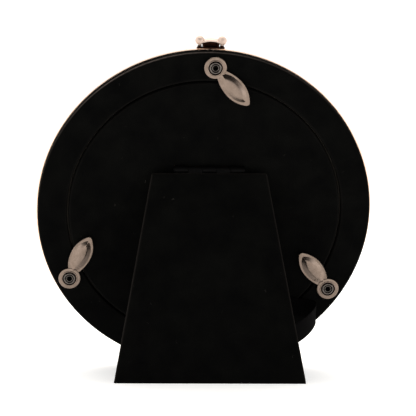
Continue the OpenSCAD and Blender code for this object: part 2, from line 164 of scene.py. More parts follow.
def makeVelvet():
    # cut-pile cotton velvet: near black, with a faint bloom at grazing angles; along its folded edges
    # a lighter grey is painted in, a painted highlight for the sheen that those edges catch
    material, tree, place = startMaterial("blackCottonVelvet")
    nap = addNode(tree, "ShaderNodeTexNoise", {  # patches where the pile lies over, 9 mm
        "Vector": place, "Scale": lumps(9), "Detail": 3.0, "Roughness": 0.6})
    tufts = addNode(tree, "ShaderNodeTexNoise", {  # pile tufts, drawn 0.5 mm so that they show
        "Vector": place, "Scale": lumps(0.5), "Detail": 2.0, "Roughness": 0.7})
    face = addNode(tree, "ShaderNodeValToRGB", {"Fac": nap}, ((0.3, "#070707"), (0.7, "#0c0c0b")))
    sheenGrey = addNode(tree, "ShaderNodeValToRGB", {"Fac": tufts}, ((0.3, "#35302d"), (0.7, "#5e5550")))
    # painted highlight: the marked folded edges are mixed toward light grey
    sheenMask = addNode(tree, "ShaderNodeAttribute", attribute_name="paintedSheen").outputs["Fac"]
    colour = addNode(tree, "ShaderNodeMix", {0: sheenMask, 6: face, 7: sheenGrey}, data_type="RGBA").outputs[2]
    bump = addNode(tree, "ShaderNodeBump", {"Height": tufts, "Strength": 0.9, "Distance": 0.12 * mm})
    endMaterial(tree, {
        "Base Color": colour, "Roughness": 1.0, "Specular IOR Level": 0.01, "Sheen Weight": 0.012,
        "Sheen Roughness": 0.4, "Sheen Tint": hexLinear("#b8b2a8"), "Normal": bump})
    return material


def makeRoseGold():
    # zinc casting, polished and rose-gold plated: warm mirror with a faint ripple
    material, tree, place = startMaterial("polishedRoseGoldPlate")
    ripple = addNode(tree, "ShaderNodeTexNoise", {  # slow unevenness left by hand polishing, 3.5 mm
        "Vector": place, "Scale": lumps(3.5), "Detail": 2.0, "Roughness": 0.45})
    haze = addNode(tree, "ShaderNodeTexNoise", {  # handling haze, drawn 0.7 mm
        "Vector": place, "Scale": lumps(0.7), "Detail": 3.0, "Roughness": 0.6})
    colour = addNode(tree, "ShaderNodeValToRGB", {"Fac": ripple}, ((0.3, "#f3d1b8"), (0.7, "#f7d9c1")))
    rough = addNode(tree, "ShaderNodeMapRange", {"Value": haze, "To Min": 0.1, "To Max": 0.22})
    bump = addNode(tree, "ShaderNodeBump", {"Height": ripple, "Strength": 0.4, "Distance": 0.01 * mm})
    endMaterial(tree, {"Base Color": colour, "Metallic": 1.0, "Roughness": rough, "Normal": bump})
    return material


def makeCrestPlate(name, middle, reach, axis):
    # the same plate, bead blasted: satin outside, and painted shade in dark brown in the hollow and on the
    # posts below the balls; reach is in millimetres from the form's middle
    material, tree, place = startMaterial(name)
    offset = addNode(tree, "ShaderNodeVectorMath", {0: place, 1: tuple(middle)}, operation="SUBTRACT")
    along = addNode(tree, "ShaderNodeVectorMath", {0: offset, 1: tuple(axis)}, operation="PROJECT")
    away = addNode(tree, "ShaderNodeVectorMath", {0: offset, 1: along}, operation="SUBTRACT")
    far = addNode(tree, "ShaderNodeVectorMath", {0: away}, operation="LENGTH").outputs["Value"]
    low, high = (edge * mm for edge in reach)
    paintedShade = addNode(tree, "ShaderNodeMapRange", {
        "Value": far, "From Min": low, "From Max": high, "To Min": 0.0, "To Max": 1.0},
        interpolation_type="SMOOTHSTEP")
    blast = addNode(tree, "ShaderNodeTexNoise", {  # bead marks, 0.3 mm
        "Vector": place, "Scale": lumps(0.3), "Detail": 2.0, "Roughness": 0.6})
    satin = addNode(tree, "ShaderNodeValToRGB", {"Fac": blast}, ((0.3, "#dfc8b9"), (0.7, "#eedcd0")))
    # painted shade: dark brown for the hollow and the posts
    shadeBrown = addNode(tree, "ShaderNodeValToRGB", {"Fac": blast}, ((0.3, "#1a0e08"), (0.7, "#43261a")))
    colour = addNode(tree, "ShaderNodeMix", {0: paintedShade, 6: satin, 7: shadeBrown}, data_type="RGBA").outputs[2]
    rough = addNode(tree, "ShaderNodeMapRange", {"Value": blast, "To Min": 0.62, "To Max": 0.78})
    bump = addNode(tree, "ShaderNodeBump", {"Height": blast, "Strength": 0.6, "Distance": 0.02 * mm})
    endMaterial(tree, {"Base Color": colour, "Metallic": 1.0, "Roughness": rough, "Normal": bump})
    return material


def makeNickel():
    # sheet steel, tumbled and satin nickel plated: soft warm grey, dulled by fine scratches;
    # in the cup it is painted nearly black, as painted shade in the recess
    material, tree, place = startMaterial("satinNickelPlate")
    cloud = addNode(tree, "ShaderNodeTexNoise", {  # cloudy wear, 2.2 mm
        "Vector": place, "Scale": lumps(2.2), "Detail": 3.0, "Roughness": 0.6})
    frost = addNode(tree, "ShaderNodeTexNoise", {  # tumbling marks, drawn 0.22 mm so that they show
        "Vector": place, "Scale": lumps(0.22), "Detail": 2.0, "Roughness": 0.6})
    plate = addNode(tree, "ShaderNodeValToRGB", {"Fac": cloud}, ((0.25, "#75665b"), (0.75, "#8a7a6f")))
    # painted shade: near black for the inside of the cup
    cupShade = addNode(tree, "ShaderNodeValToRGB", {"Fac": frost}, ((0.3, "#120f0d"), (0.7, "#2b2521")))
    paintedCupShade = addNode(tree, "ShaderNodeAttribute", attribute_name="paintedCupShade").outputs["Fac"]
    colour = addNode(tree, "ShaderNodeMix", {0: paintedCupShade, 6: plate, 7: cupShade}, data_type="RGBA").outputs[2]
    rough = addNode(tree, "ShaderNodeMapRange", {"Value": frost, "To Min": 0.18, "To Max": 0.3})
    bump = addNode(tree, "ShaderNodeBump", {"Height": frost, "Strength": 0.6, "Distance": 0.01 * mm})
    endMaterial(tree, {"Base Color": colour, "Metallic": 1.0, "Roughness": rough, "Normal": bump})
    return material


def makeGunmetal():
    # rolled eyelet in oil-blacked steel: nearly black, with a painted highlight in grey on its two rolled
    # rings
    material, tree, place = startMaterial("oilBlackedSteel")
    wear = addNode(tree, "ShaderNodeTexNoise", {  # patches of handling wear, 0.6 mm
        "Vector": place, "Scale": lumps(0.6), "Detail": 3.0, "Roughness": 0.7})
    oiled = addNode(tree, "ShaderNodeValToRGB", {"Fac": wear}, ((0.35, "#161514"), (0.75, "#2a2826")))
    # painted highlight: light grey for the raised rings
    ringGleam = addNode(tree, "ShaderNodeValToRGB", {"Fac": wear}, ((0.35, "#4f4a46"), (0.75, "#736c66")))
    gleam = addNode(tree, "ShaderNodeAttribute", attribute_name="gleam").outputs["Fac"]
    colour = addNode(tree, "ShaderNodeMix", {0: gleam, 6: oiled, 7: ringGleam}, data_type="RGBA").outputs[2]
    rough = addNode(tree, "ShaderNodeMapRange", {"Value": wear, "To Min": 0.18, "To Max": 0.34})
    bump = addNode(tree, "ShaderNodeBump", {"Height": wear, "Strength": 0.5, "Distance": 0.01 * mm})
    endMaterial(tree, {"Base Color": colour, "Metallic": 1.0, "Roughness": rough, "Normal": bump})
    return material


def makeJapanned():
    # stamped steel under matt black stoving enamel: soft black, no sharp highlight
    material, tree, place = startMaterial("blackStovedEnamel")
    peel = addNode(tree, "ShaderNodeTexNoise", {  # orange peel, 0.8 mm
        "Vector": place, "Scale": lumps(0.8), "Detail": 2.0, "Roughness": 0.5})
    colour = addNode(tree, "ShaderNodeValToRGB", {"Fac": peel}, ((0.3, "#060606"), (0.7, "#0d0c0c")))
    bump = addNode(tree, "ShaderNodeBump", {"Height": peel, "Strength": 0.5, "Distance": 0.015 * mm})
    endMaterial(tree, {
        "Base Color": colour, "Roughness": 0.6, "Specular IOR Level": 0.03, "Normal": bump})
    return material


def makeTinned():
    # tinned steel rivet: dull silver
    material, tree, place = startMaterial("tinnedSteel")
    cloud = addNode(tree, "ShaderNodeTexNoise", {  # mottle of the tin, 0.5 mm
        "Vector": place, "Scale": lumps(0.5), "Detail": 3.0, "Roughness": 0.6})
    colour = addNode(tree, "ShaderNodeValToRGB", {"Fac": cloud}, ((0.3, "#8b8984"), (0.7, "#aeaca6")))
    rough = addNode(tree, "ShaderNodeMapRange", {"Value": cloud, "To Min": 0.3, "To Max": 0.5})
    bump = addNode(tree, "ShaderNodeBump", {"Height": cloud, "Strength": 0.4, "Distance": 0.01 * mm})
    endMaterial(tree, {"Base Color": colour, "Metallic": 1.0, "Roughness": rough, "Normal": bump})
    return material


def makeHardboard():
    # pressed wood fibre: brown, with short darker strands
    material, tree, place = startMaterial("pressedHardboard")
    drawn = addNode(tree, "ShaderNodeMapping", {"Vector": place, "Scale": (0.3, 1, 1)})
    strands = addNode(tree, "ShaderNodeTexNoise", {  # fibres about 0.6 by 2 mm
        "Vector": drawn, "Scale": lumps(0.6), "Detail": 4.0, "Roughness": 0.65})
    colour = addNode(tree, "ShaderNodeValToRGB", {"Fac": strands}, ((0.3, "#4e3926"), (0.7, "#8a6a48")))
    bump = addNode(tree, "ShaderNodeBump", {"Height": strands, "Strength": 0.6, "Distance": 0.04 * mm})
    endMaterial(tree, {"Base Color": colour, "Roughness": 0.8, "Normal": bump})
    return material


def makeGreyBoard():
    # recycled card, flecked and dull, coloured dark as painted shade so that hardly a line shows down in
    # the groove
    material, tree, place = startMaterial("recycledGreyBoard")
    flecks = addNode(tree, "ShaderNodeTexNoise", {  # flecks of waste paper, 0.5 mm
        "Vector": place, "Scale": lumps(0.5), "Detail": 4.0, "Roughness": 0.8})
    colour = addNode(tree, "ShaderNodeValToRGB", {"Fac": flecks}, (
        (0.35, "#38342f"), (0.6, "#46413b"), (0.75, "#524c45")))
    bump = addNode(tree, "ShaderNodeBump", {"Height": flecks, "Strength": 0.5, "Distance": 0.03 * mm})
    endMaterial(tree, {
        "Base Color": colour, "Roughness": 0.9, "Specular IOR Level": 0.1, "Normal": bump})
    return material


def makePhotoPaper():
    # blank pearl photo paper: warm white with a fine pebble
    material, tree, place = startMaterial("pearlPhotoPaper")
    pebble = addNode(tree, "ShaderNodeTexNoise", {  # pearl pebble, 0.3 mm
        "Vector": place, "Scale": lumps(0.3), "Detail": 2.0, "Roughness": 0.5})
    colour = addNode(tree, "ShaderNodeValToRGB", {"Fac": pebble}, ((0.3, "#ecebe6"), (0.7, "#f5f4f0")))
    bump = addNode(tree, "ShaderNodeBump", {"Height": pebble, "Strength": 0.4, "Distance": 0.008 * mm})
    endMaterial(tree, {"Base Color": colour, "Roughness": 0.38, "Normal": bump})
    return material


def makeGlass():
    # 2 mm float glass: clear with a trace of green, and a faint roller wave
    material, tree, place = startMaterial("clearFloatGlass")
    wave = addNode(tree, "ShaderNodeTexNoise", {  # roller wave, 60 mm
        "Vector": place, "Scale": lumps(60), "Detail": 0.0, "Roughness": 0.5})
    bump = addNode(tree, "ShaderNodeBump", {"Height": wave, "Strength": 0.1, "Distance": 0.002 * mm})
    endMaterial(tree, {
        "Base Color": hexLinear("#fcfefd"), "Roughness": 0.0, "IOR": 1.52, "Transmission Weight": 1.0,
        "Normal": bump})
    return material


def makeRibbonCloth():
    # cotton grosgrain ribbon: dull black, with fine ribs across it
    material, tree, _ = startMaterial("blackCottonGrosgrain")
    across = addNode(tree, "ShaderNodeUVMap", uv_map="weave")
    ribs = 0.5  # real ribs are 0.25 mm apart, drawn 0.5 mm so that they show
    bandsPerUnit = 20 / (2 * math.pi)  # a wave at scale 1 has this many bands in one unit
    weft = addNode(tree, "ShaderNodeTexWave", {
        "Vector": across, "Scale": 1 / bandsPerUnit / ribs, "Distortion": 0.4},
        bands_direction="Y").outputs["Fac"]
    colour = addNode(tree, "ShaderNodeValToRGB", {"Fac": weft}, ((0.1, "#050505"), (0.9, "#0b0a0a")))
    bump = addNode(tree, "ShaderNodeBump", {"Height": weft, "Strength": 0.7, "Distance": 0.04 * mm})
    endMaterial(tree, {
        "Base Color": colour, "Roughness": 0.9, "Specular IOR Level": 0.01, "Sheen Weight": 0.008,
        "Sheen Roughness": 0.5, "Sheen Tint": hexLinear("#a8a49c"), "Normal": bump})
    return material


def makeLint():
    # stray cotton fibres caught on the pile: thin and grey, sunk half into it
    material, tree, place = startMaterial("strayCottonLint")
    shade = addNode(tree, "ShaderNodeTexNoise", {  # one shade a fibre or so, 4 mm
        "Vector": place, "Scale": lumps(4), "Detail": 1.0, "Roughness": 0.5})
    colour = addNode(tree, "ShaderNodeValToRGB", {"Fac": shade}, ((0.35, "#33302d"), (0.65, "#5c5751")))
    endMaterial(tree, {"Base Color": colour, "Roughness": 0.9})
    return material


finishes = {
    "velvet": makeVelvet(), "roseGold": makeRoseGold(), "nickel": makeNickel(),
    "gunmetal": makeGunmetal(), "japanned": makeJapanned(), "tinned": makeTinned(),
    "hardboard": makeHardboard(), "greyBoard": makeGreyBoard(), "paper": makePhotoPaper(),
    "glass": makeGlass(), "grosgrain": makeRibbonCloth(), "lint": makeLint(),
}

# the crest stands on the rim: height over the rim and sideways place, in its own plan; on a ball
# the painted shade starts past its own radius, and inside the shell short of its outer skin
crest = {
    "rim": 65.5, "clock": 0.4, "depth": 4.4, "ballHigh": 2.9, "ballSide": 4.25, "archHigh": -6.2,
    "ballReach": (1.78, 1.95), "shellReach": (9.15, 8.95),
}


def onCrest(x, y):
    a, up = math.radians(crest["clock"]), crest["rim"] + y
    right, high = x * math.cos(a) + up * math.sin(a), up * math.cos(a) - x * math.sin(a)
    return onBack(right, high, -crest["depth"])


for key, name, side in (
        ("ballRight", "blastedPlateBallRight", 1), ("ballLeft", "blastedPlateBallLeft", -1)):
    finishes[key] = makeCrestPlate(
        name, onCrest(side * crest["ballSide"], crest["ballHigh"]), crest["ballReach"], (0, 0, 0))
finishes["shell"] = makeCrestPlate(
    "blastedPlateShell", onCrest(0, crest["archHigh"]), crest["shellReach"], outward)
dressed = {
    "roseGold": ("front_rim",), "shell": ("crest_shell",),
    "ballLeft": ("finial_left",), "ballRight": ("finial_right",),
    "glass": ("glass_pane",), "paper": ("photo_insert",), "greyBoard": ("backing_card", "spacer_ring"),
    "hardboard": ("ring_board", "panel_board", "leg_board"),
    "gunmetal": ("eyelet_top", "eyelet_left", "eyelet_right"),
    "nickel": ("clip_top", "clip_left", "clip_right"),
    "japanned": ("hinge_leaf_panel", "hinge_leaf_leg", "hinge_pin"),
    "tinned": ("panel_rivets", "leg_rivets"),
}
for finish, names in dressed.items():
    for name in names:
        nodes[name].data.materials.clear()
        nodes[name].data.materials.append(finishes[finish])
print("finishes on", sum(len(names) for names in dressed.values()), "nodes")


def settle(mesh, weld=None):
    # turns the faces outwards, after points closer than weld are merged
    shape = bmesh.new()
    shape.from_mesh(mesh)
    if weld:
        bmesh.ops.remove_doubles(shape, verts=shape.verts, dist=weld)
    bmesh.ops.recalc_face_normals(shape, faces=shape.faces)
    shape.to_mesh(mesh)
    shape.free()


def newPiece(name, points, faces, finish):
    mesh = bpy.data.meshes.new(name)
    mesh.from_pydata(points, [], faces)
    settle(mesh)
    mesh.materials.append(finish)
    mesh.shade_smooth()
    piece = bpy.data.objects.new(name, mesh)
    bpy.context.scene.collection.objects.link(piece)
    return piece


def sharpen(piece, degrees):
    piece.data.set_sharp_from_angle(angle=math.radians(degrees))


def loft(rings, closeEnds=True):
    # joins equal closed loops of points; each end is closed by a fan to its middle
    count = len(rings[0])
    points = [p for ring in rings for p in ring]
    faces = []
    for i in range(len(rings) - 1):
        for k in range(count):
            n = (k + 1) % count
            faces.append((i * count + k, i * count + n, (i + 1) * count + n, (i + 1) * count + k))
    if closeEnds:
        for ring, start in ((rings[0], 0), (rings[-1], (len(rings) - 1) * count)):
            points.append(sum(ring, Vector()) / count)
            for k in range(count):
                faces.append((start + k, start + (k + 1) % count, len(points) - 1))
    return points, faces


def lathe(profile, steps, place=onBack):
    # turns a closed profile of (radius, z) about the middle of a plan; points on the axis are shared
    points, index = [], []
    for r, z in profile:
        row = []
        for k in range(steps if r > 0 else 1):
            a = 2 * math.pi * k / steps
            row.append(len(points))
            points.append(place(r * math.sin(a), r * math.cos(a), z))
        index.append(row)
    faces = []
    for i in range(len(profile)):
        a, b = index[i], index[(i + 1) % len(profile)]
        if len(a) == 1 and len(b) == 1:
            continue
        for k in range(steps):
            n = (k + 1) % steps
            if len(a) == 1:
                faces.append((a[0], b[k], b[n]))
            elif len(b) == 1:
                faces.append((a[k], b[0], a[n]))
            else:
                faces.append((a[k], b[k], b[n], a[n]))
    return points, faces


def arc(r, z, radius, start, end, count=6):
    # points round an arc, from start to end in degrees
    turns = [math.radians(start + (end - start) * i / count) for i in range(count + 1)]
    return [(r + radius * math.cos(a), z + radius * math.sin(a)) for a in turns]


def evaluatedMesh(piece):
    bpy.context.view_layer.update()
    ready = piece.evaluated_get(bpy.context.evaluated_depsgraph_get())
    return bpy.data.meshes.new_from_object(ready)


def cutAway(piece, cutters, operation="DIFFERENCE"):
    # takes closed cutters out of a piece, or joins them to it, and leaves a plain mesh
    for cutter in cutters:
        cut = piece.modifiers.new("cut", "BOOLEAN")
        cut.operation, cut.solver, cut.object = operation, "EXACT", cutter
    settled = evaluatedMesh(piece)
    piece.modifiers.clear()
    piece.data = settled
    for cutter in cutters:
        bpy.data.objects.remove(cutter)


def blockCutter(place, low, high):
    base = ((low[0], low[1]), (high[0], low[1]), (high[0], high[1]), (low[0], high[1]))
    ends = [[place(x, y, z) for x, y in base] for z in (low[2], high[2])]
    return newPiece("cutter", *loft(ends), finishes["velvet"])


def markPoints(piece, name, amount):
    # a value from 0 to 1 at each point, which a tree or a material reads by its name
    marks = piece.data.attributes.new(name, "FLOAT", "POINT")
    marks.data.foreach_set("value", [float(amount(v.co)) for v in piece.data.vertices])


# Geometry Nodes: real relief on the pile, and lint caught on it
def startTree(name, sizes):
    tree = bpy.data.node_groups.new(name, "GeometryNodeTree")
    tree.interface.new_socket("Geometry", in_out="INPUT", socket_type="NodeSocketGeometry")
    keys = {}
    for label, kind in sizes.items():
        socket = tree.interface.new_socket(label, in_out="INPUT", socket_type="NodeSocket" + kind)
        keys[label] = socket.identifier
    tree.interface.new_socket("Geometry", in_out="OUTPUT", socket_type="NodeSocketGeometry")
    return tree, keys, addNode(tree, "NodeGroupInput").outputs


def endTree(tree, geometry, material):
    real = addNode(tree, "GeometryNodeRealizeInstances", {"Geometry": geometry})
    covered = addNode(tree, "GeometryNodeSetMaterial", {"Geometry": real, "Material": material})
    addNode(tree, "NodeGroupOutput", {"Geometry": covered})


def runTree(source, tree, keys, values, name):
    # the tree's result as a plain mesh of its own
    modifier = source.modifiers.new("build", "NODES")
    modifier.node_group = tree
    for label, value in values.items():
        modifier[keys[label]] = value
    mesh = evaluatedMesh(source)
    source.modifiers.clear()
    mesh.shade_smooth()
    piece = bpy.data.objects.new(name, mesh)
    bpy.context.scene.collection.objects.link(piece)
    return piece


def pileTree():
    # lifts and sinks the marked skin along its normals, by a slow noise about its middle value
    tree, keys, given = startTree("raisePile", {
        "Height": "Float", "Patch": "Float", "Material": "Material"})
    scale = addNode(tree, "ShaderNodeMath", {0: 1.0, 1: given["Patch"]}, operation="DIVIDE")
    noise = addNode(tree, "ShaderNodeTexNoise", {"Scale": scale, "Detail": 2.0})
    raised = addNode(tree, "ShaderNodeMath", {0: noise, 1: 0.5}, operation="SUBTRACT")
    marked = addNode(tree, "GeometryNodeInputNamedAttribute", {"Name": "pile"}, data_type="FLOAT")
    amount = addNode(tree, "ShaderNodeMath", {0: raised, 1: marked}, operation="MULTIPLY")
    lift = addNode(tree, "ShaderNodeMath", {0: amount, 1: given["Height"]}, operation="MULTIPLY")
    normal = addNode(tree, "GeometryNodeInputNormal")
    offset = addNode(tree, "ShaderNodeVectorMath", {0: normal, "Scale": lift}, operation="SCALE")
    moved = addNode(tree, "GeometryNodeSetPosition", {"Geometry": given["Geometry"], "Offset": offset})
    endTree(tree, moved, given["Material"])
    return tree, keys


# one fibre, a unit long, and how fibres are strewn: only where the cloth faces outward
strand = {
    "start": (-0.5, 0, 0), "middle": (0.05, 0.4, 0.06), "end": (0.5, 0, 0.02), "bends": 6, "sides": 3,
    "facing": 0.95, "fullTurn": 6.283, "shortest": 0.4, "longest": 1.4, "turnSeed": 3, "sizeSeed": 7,
}


def lintTree():
    tree, keys, given = startTree("scatterLint", {
        "Per Square Metre": "Float", "Length": "Float", "Radius": "Float", "Outward": "Vector",
        "Seed": "Int", "Material": "Material"})
    bend = addNode(tree, "GeometryNodeCurveQuadraticBezier", {
        "Resolution": strand["bends"], "Start": strand["start"], "Middle": strand["middle"],
        "End": strand["end"]})
    stretch = addNode(tree, "ShaderNodeCombineXYZ", {i: given["Length"] for i in range(3)})
    sized = addNode(tree, "GeometryNodeTransform", {"Geometry": bend, "Scale": stretch})
    ring = addNode(tree, "GeometryNodeCurvePrimitiveCircle", {
        "Resolution": strand["sides"], "Radius": given["Radius"]})
    fibre = addNode(tree, "GeometryNodeCurveToMesh", {
        "Curve": sized, "Profile Curve": ring, "Fill Caps": True})
    normal = addNode(tree, "GeometryNodeInputNormal")
    facing = addNode(tree, "ShaderNodeVectorMath", {0: normal, 1: given["Outward"]},
                     operation="DOT_PRODUCT").outputs["Value"]
    outside = addNode(tree, "FunctionNodeCompare", {0: facing, 1: strand["facing"]},
                      operation="GREATER_THAN", data_type="FLOAT")
    caught = addNode(tree, "GeometryNodeDistributePointsOnFaces", {
        "Mesh": given["Geometry"], "Selection": outside, "Density": given["Per Square Metre"],
        "Seed": given["Seed"]}).outputs
    turn = addNode(tree, "FunctionNodeRandomValue", {
        2: 0.0, 3: strand["fullTurn"], "Seed": strand["turnSeed"]}, data_type="FLOAT").outputs[1]
    spin = addNode(tree, "ShaderNodeCombineXYZ", {2: turn})
    turned = addNode(tree, "FunctionNodeRotateRotation", {
        "Rotation": caught["Rotation"], "Rotate By": spin}, rotation_space="LOCAL")
    size = addNode(tree, "FunctionNodeRandomValue", {
        2: strand["shortest"], 3: strand["longest"], "Seed": strand["sizeSeed"]},
        data_type="FLOAT").outputs[1]
    laid = addNode(tree, "GeometryNodeInstanceOnPoints", {
        "Points": caught["Points"], "Instance": fibre, "Rotation": turned, "Scale": size})
    endTree(tree, laid, given["Material"])
    return tree, keys


raisePile, pileKeys = pileTree()
scatterLint, lintKeys = lintTree()

# velvet on the fixed ring and on the lift-out panel
cover = {
    "thick": 0.4, "depth": 2.6, "edge": 1.0, "ringIn": 53.5, "ringOut": 65.0, "panelOut": 53.0,
    "eyeletHole": 1.65, "eyeletRing": 59.1, "eyeletTurn": 2.1, "eyeletClocks": (0, -120, 120),
    "holeLow": -3.0, "holeHigh": 1.0, "holeSides": 48,
    "slitWide": 27.1, "slitHigh": 0.5, "slitY": 19.3, "slitLow": -0.9, "slitTop": 0.6,
    "steps": 288, "ringStep": 0.75, "roundSteps": 16, "pileHeight": 0.05, "pilePatch": 2.5, "skin": 0.02,
}
# painted highlight on the folded edges: on the outer arris, most at the upper left, beside the groove and
# on the leg
paintedSheen = {
    "arris": 0.3, "arrisFrom": 0.6, "arrisDeep": -0.48, "arrisWide": 0.19,
    "gleam": 1.0, "gleamClock": -22, "gleamSpan": 28,
    "groove": 0.03, "grooveHalf": 0.75, "grooveWide": 0.25, "leg": 0.14, "legWide": 0.5,
}


def coverProfile(inner, outer):
    # outer skin across the face, round the edges and down the sides, then back along the board
    e, t, d = cover["edge"], cover["thick"], cover["depth"]
    start, stop = (inner + e if inner else 0), outer - e
    count = max(2, round((stop - start) / cover["ringStep"]))
    face = [(start + (stop - start) * i / count, 0) for i in range(count + 1)]
    arris = arc(stop, -e, e, 90, 0, cover["roundSteps"])[1:]
    section = face + arris + [(outer, -d), (outer - t, -d), (outer - t, -t)]
    if inner:
        return section + [(inner + t, -t), (inner + t, -d), (inner, -d)] + arc(start, -e, e, 180, 90)[:-1]
    return section + [(0, -t)]


def bell(value, middle, width):
    return math.exp(-((value - middle) / width) ** 2)


def sheenOnBack(x, y, z):
    # painted highlight along the outer arris, strongest at the upper left, and a faint one beside the
    # groove
    r, clock = math.hypot(x, y), math.degrees(math.atan2(x, y))
    if r > cover["ringOut"] - cover["edge"] * paintedSheen["arrisFrom"]:
        upperLeft = paintedSheen["gleam"] * bell(clock, paintedSheen["gleamClock"], paintedSheen["gleamSpan"])
        return bell(z, paintedSheen["arrisDeep"], paintedSheen["arrisWide"]) * (paintedSheen["arris"] + upperLeft)
    if z <= -cover["edge"]:
        return 0
    groove = (cover["ringIn"] + cover["panelOut"]) / 2
    return paintedSheen["groove"] * bell(abs(r - groove), paintedSheen["grooveHalf"], paintedSheen["grooveWide"])


def withPile(rough, name):
    # the marked skin with its pile raised, as a piece of its own
    piece = runTree(rough, raisePile, pileKeys, {
        "Height": cover["pileHeight"] * mm, "Patch": cover["pilePatch"] * mm,
        "Material": finishes["velvet"]}, name)
    bpy.data.objects.remove(rough)
    return piece


def coverPiece(name, inner, outer, cutters):
    rough = newPiece("rough", *lathe(coverProfile(inner, outer), cover["steps"]), finishes["velvet"])
    cutAway(rough, cutters)
    markPoints(rough, "pile", lambda co: inPlan(co)[2] > -cover["skin"])
    piece = withPile(rough, name)
    # marks where the painted highlight goes on the folded edges
    markPoints(piece, "paintedSheen", lambda co: sheenOnBack(*inPlan(co)))
    return piece


def eyeletHole(x, y):
    r, count = cover["eyeletHole"], cover["holeSides"]
    turns = [2 * math.pi * k / count for k in range(count)]
    rings = [[onBack(x + r * math.cos(a), y + r * math.sin(a), z) for a in turns]
             for z in (cover["holeLow"], cover["holeHigh"])]
    return newPiece("cutter", *loft(rings), finishes["velvet"])


def hingeSlit():
    half, high = cover["slitWide"] / 2, cover["slitHigh"] / 2
    return blockCutter(
        onBack,
        (stance["hingeX"] - half, cover["slitY"] - high, cover["slitLow"]),
        (stance["hingeX"] + half, cover["slitY"] + high, cover["slitTop"]))


eyelets = []
for clock in cover["eyeletClocks"]:
    a = math.radians(cover["eyeletTurn"] + clock)
    eyelets.append((cover["eyeletRing"] * math.sin(a), cover["eyeletRing"] * math.cos(a)))
ringVelvet = coverPiece(
    "ringVelvet", cover["ringIn"], cover["ringOut"], [eyeletHole(x, y) for x, y in eyelets])
panelVelvet = coverPiece("panelVelvet", 0, cover["panelOut"], [hingeSlit()])
print("velvet on the back:", len(ringVelvet.data.polygons), len(panelVelvet.data.polygons))

# velvet sleeve on the leg
sleeve = {
    "topHalf": 22.0, "spread": 0.182917, "start": 1.3, "length": 82.0, "footRun": 1.2,
    "low": -1.1, "high": 1.5, "soft": 0.8, "least": 0.02, "thick": 0.4, "boardLow": -0.7, "boardHigh": 1.1,
    "roundSteps": 5, "cornerSteps": 4, "across": 64, "along": 84, "skin": 0.03,
    "slotHalf": 13.5, "slotRun": 1.0, "slotLow": 0.65, "slotHigh": 1.15,
}


def footOf(x, z, lift, probe=100):
    # how far down the leg a line runs before it meets the level lift over the table
    top, low = onLeg(x, 0, z).z, onLeg(x, -probe, z).z
    return (top - lift * mm) / (top - low) * probe


def sleeveRing(down, inset, lift=None):
    # rounded section of the sleeve; with lift it is cut level
    low, high = sleeve["low"] + inset, sleeve["high"] - inset
    r = max(sleeve["soft"] - inset, sleeve["least"])
    side = sleeve["topHalf"] + down * sleeve["spread"] - inset - r
    count, section = sleeve["across"], []
    corners = ((side, high - r), (-side, high - r), (-side, low + r), (side, low + r))
    for (cx, cz), start in zip(corners, (0, 90, 180, 270)):
        section += arc(cx, cz, r, start, start + 90, sleeve["cornerSteps"])
        if start in (0, 180):
            toward, z = (-1, high) if start == 0 else (1, low)
            section += [(toward * (-side + 2 * side * i / count), z) for i in range(1, count)]
    if lift is None:
        return [onLeg(x, -down, z) for x, z in section]
    return [onLeg(x, -footOf(x, z, lift), z) for x, z in section]


def sleeveSkin():
    # a rounded top end, then straight down to the foot, which is cut level with the table
    soft, start, steps, count = sleeve["soft"], sleeve["start"], sleeve["roundSteps"], sleeve["along"]
    rings = []
    for i in range(steps + 1):
        t = math.radians(90 - 90 / steps * i)
        rings.append(sleeveRing(start + soft * (1 - math.sin(t)), soft * (1 - math.cos(t))))
    first, last = start + soft, sleeve["length"] - sleeve["footRun"]
    rings += [sleeveRing(first + (last - first) * i / count, 0) for i in range(1, count + 1)]
    return rings + [sleeveRing(sleeve["length"], 0, 0.0)]


def sleeveRoom():
    # the hollow that holds the board
    t, low, high = sleeve["thick"], sleeve["boardLow"], sleeve["boardHigh"]
    ends = []
    for down, lift in ((sleeve["start"] + t, None), (sleeve["length"], t)):
        half = sleeve["topHalf"] + down * sleeve["spread"] - t * math.sqrt(1 + sleeve["spread"] ** 2)
        corners = ((half, high), (-half, high), (-half, low), (half, low))
        ends.append([onLeg(x, -(down if lift is None else footOf(x, z, lift)), z) for x, z in corners])
    return ends


def makeSleeve():
    rough = newPiece("rough", *loft(sleeveSkin()), finishes["velvet"])
    room = newPiece("cutter", *loft(sleeveRoom()), finishes["velvet"])
    half, start, run = sleeve["slotHalf"], sleeve["start"], sleeve["slotRun"]
    slot = blockCutter(
        onLeg, (-half, -start - run, sleeve["slotLow"]), (half, -start + run, sleeve["slotHigh"]))
    cutAway(rough, [room, slot])
    base = onLeg(0, 0, 0)
    across, down, out = (
        (onLeg(*axis) - base).normalized() for axis in ((1, 0, 0), (0, -1, 0), (0, 0, 1)))
    low, high = sleeve["low"] + sleeve["skin"], sleeve["high"] - sleeve["skin"]
    markPoints(rough, "pile", lambda co: not low < (co - base).dot(out) / mm < high)
    piece = withPile(rough, "legVelvet")

    def sheenOnLeg(co):
        # painted highlight along the folded long edges and the top one
        along = (co - base).dot(down) / mm
        side = sleeve["topHalf"] + along * sleeve["spread"]
        away = min(side - abs((co - base).dot(across)) / mm, along - start)
        return paintedSheen["leg"] * bell(away, 0, sleeve["soft"] * paintedSheen["legWide"])

    markPoints(piece, "paintedSheen", sheenOnLeg)
    return piece, out


legVelvet, legOutward = makeSleeve()
print("velvet on the leg:", len(legVelvet.data.polygons))

